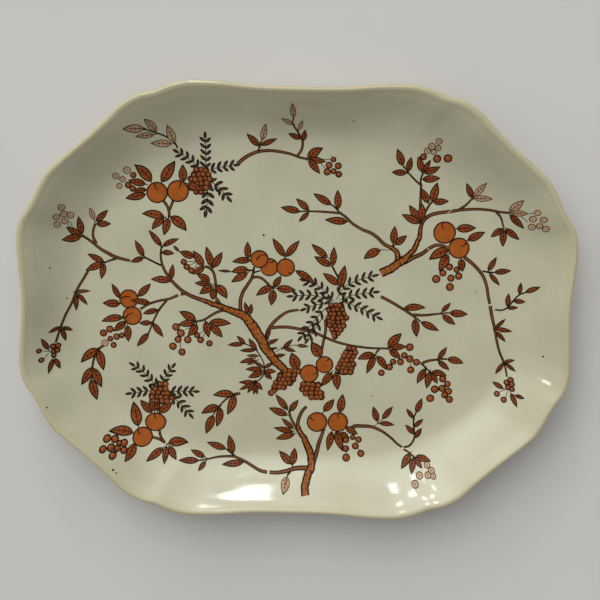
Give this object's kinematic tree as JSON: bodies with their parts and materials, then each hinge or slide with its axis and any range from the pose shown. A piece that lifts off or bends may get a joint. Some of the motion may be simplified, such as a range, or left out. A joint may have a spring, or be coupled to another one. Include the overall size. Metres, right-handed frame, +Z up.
{
  "type": "china serving platter",
  "caption": "Shaped oblong china serving platter with a flat well, steep flaring wall, rolled lip and foot ring, its face decorated with printed fruiting branches.",
  "frame": {"origin": "middle of the foot ring, on the surface that the platter stands on", "axes": "+Z up out of the face, +X along the long side, +Y along the short side"},
  "size_m": [0.356, 0.284, 0.0322],
  "materials": {
    "fired_clay": "matt, bare on the foot ring",
    "cream_glaze": "glossy, cream with a faint green tone",
    "rust_print": "satin fired enamel, worn thin near the rim"
  },
  "bodies": {
    "root": {"biscuit_body": "fired_clay", "face_glaze": "cream_glaze", "back_glaze": "cream_glaze", "foot_well_glaze": "cream_glaze", "transfer_upper_left": "rust_print", "transfer_top_branch": "rust_print", "transfer_left_twig": "rust_print", "transfer_centre_left": "rust_print", "transfer_left_fruit": "rust_print", "transfer_centre_tree": "rust_print", "transfer_fern_grapes": "rust_print", "transfer_twig_leaves": "rust_print", "transfer_centre_fruit": "rust_print", "transfer_berry_twig": "rust_print", "transfer_right_twig": "rust_print", "transfer_right_branch": "rust_print", "transfer_hanging_twig": "rust_print", "transfer_lower_left": "rust_print", "transfer_lower_branch": "rust_print", "transfer_lower_tree": "rust_print", "transfer_lower_right": "rust_print"}
  },
  "joints": []
}
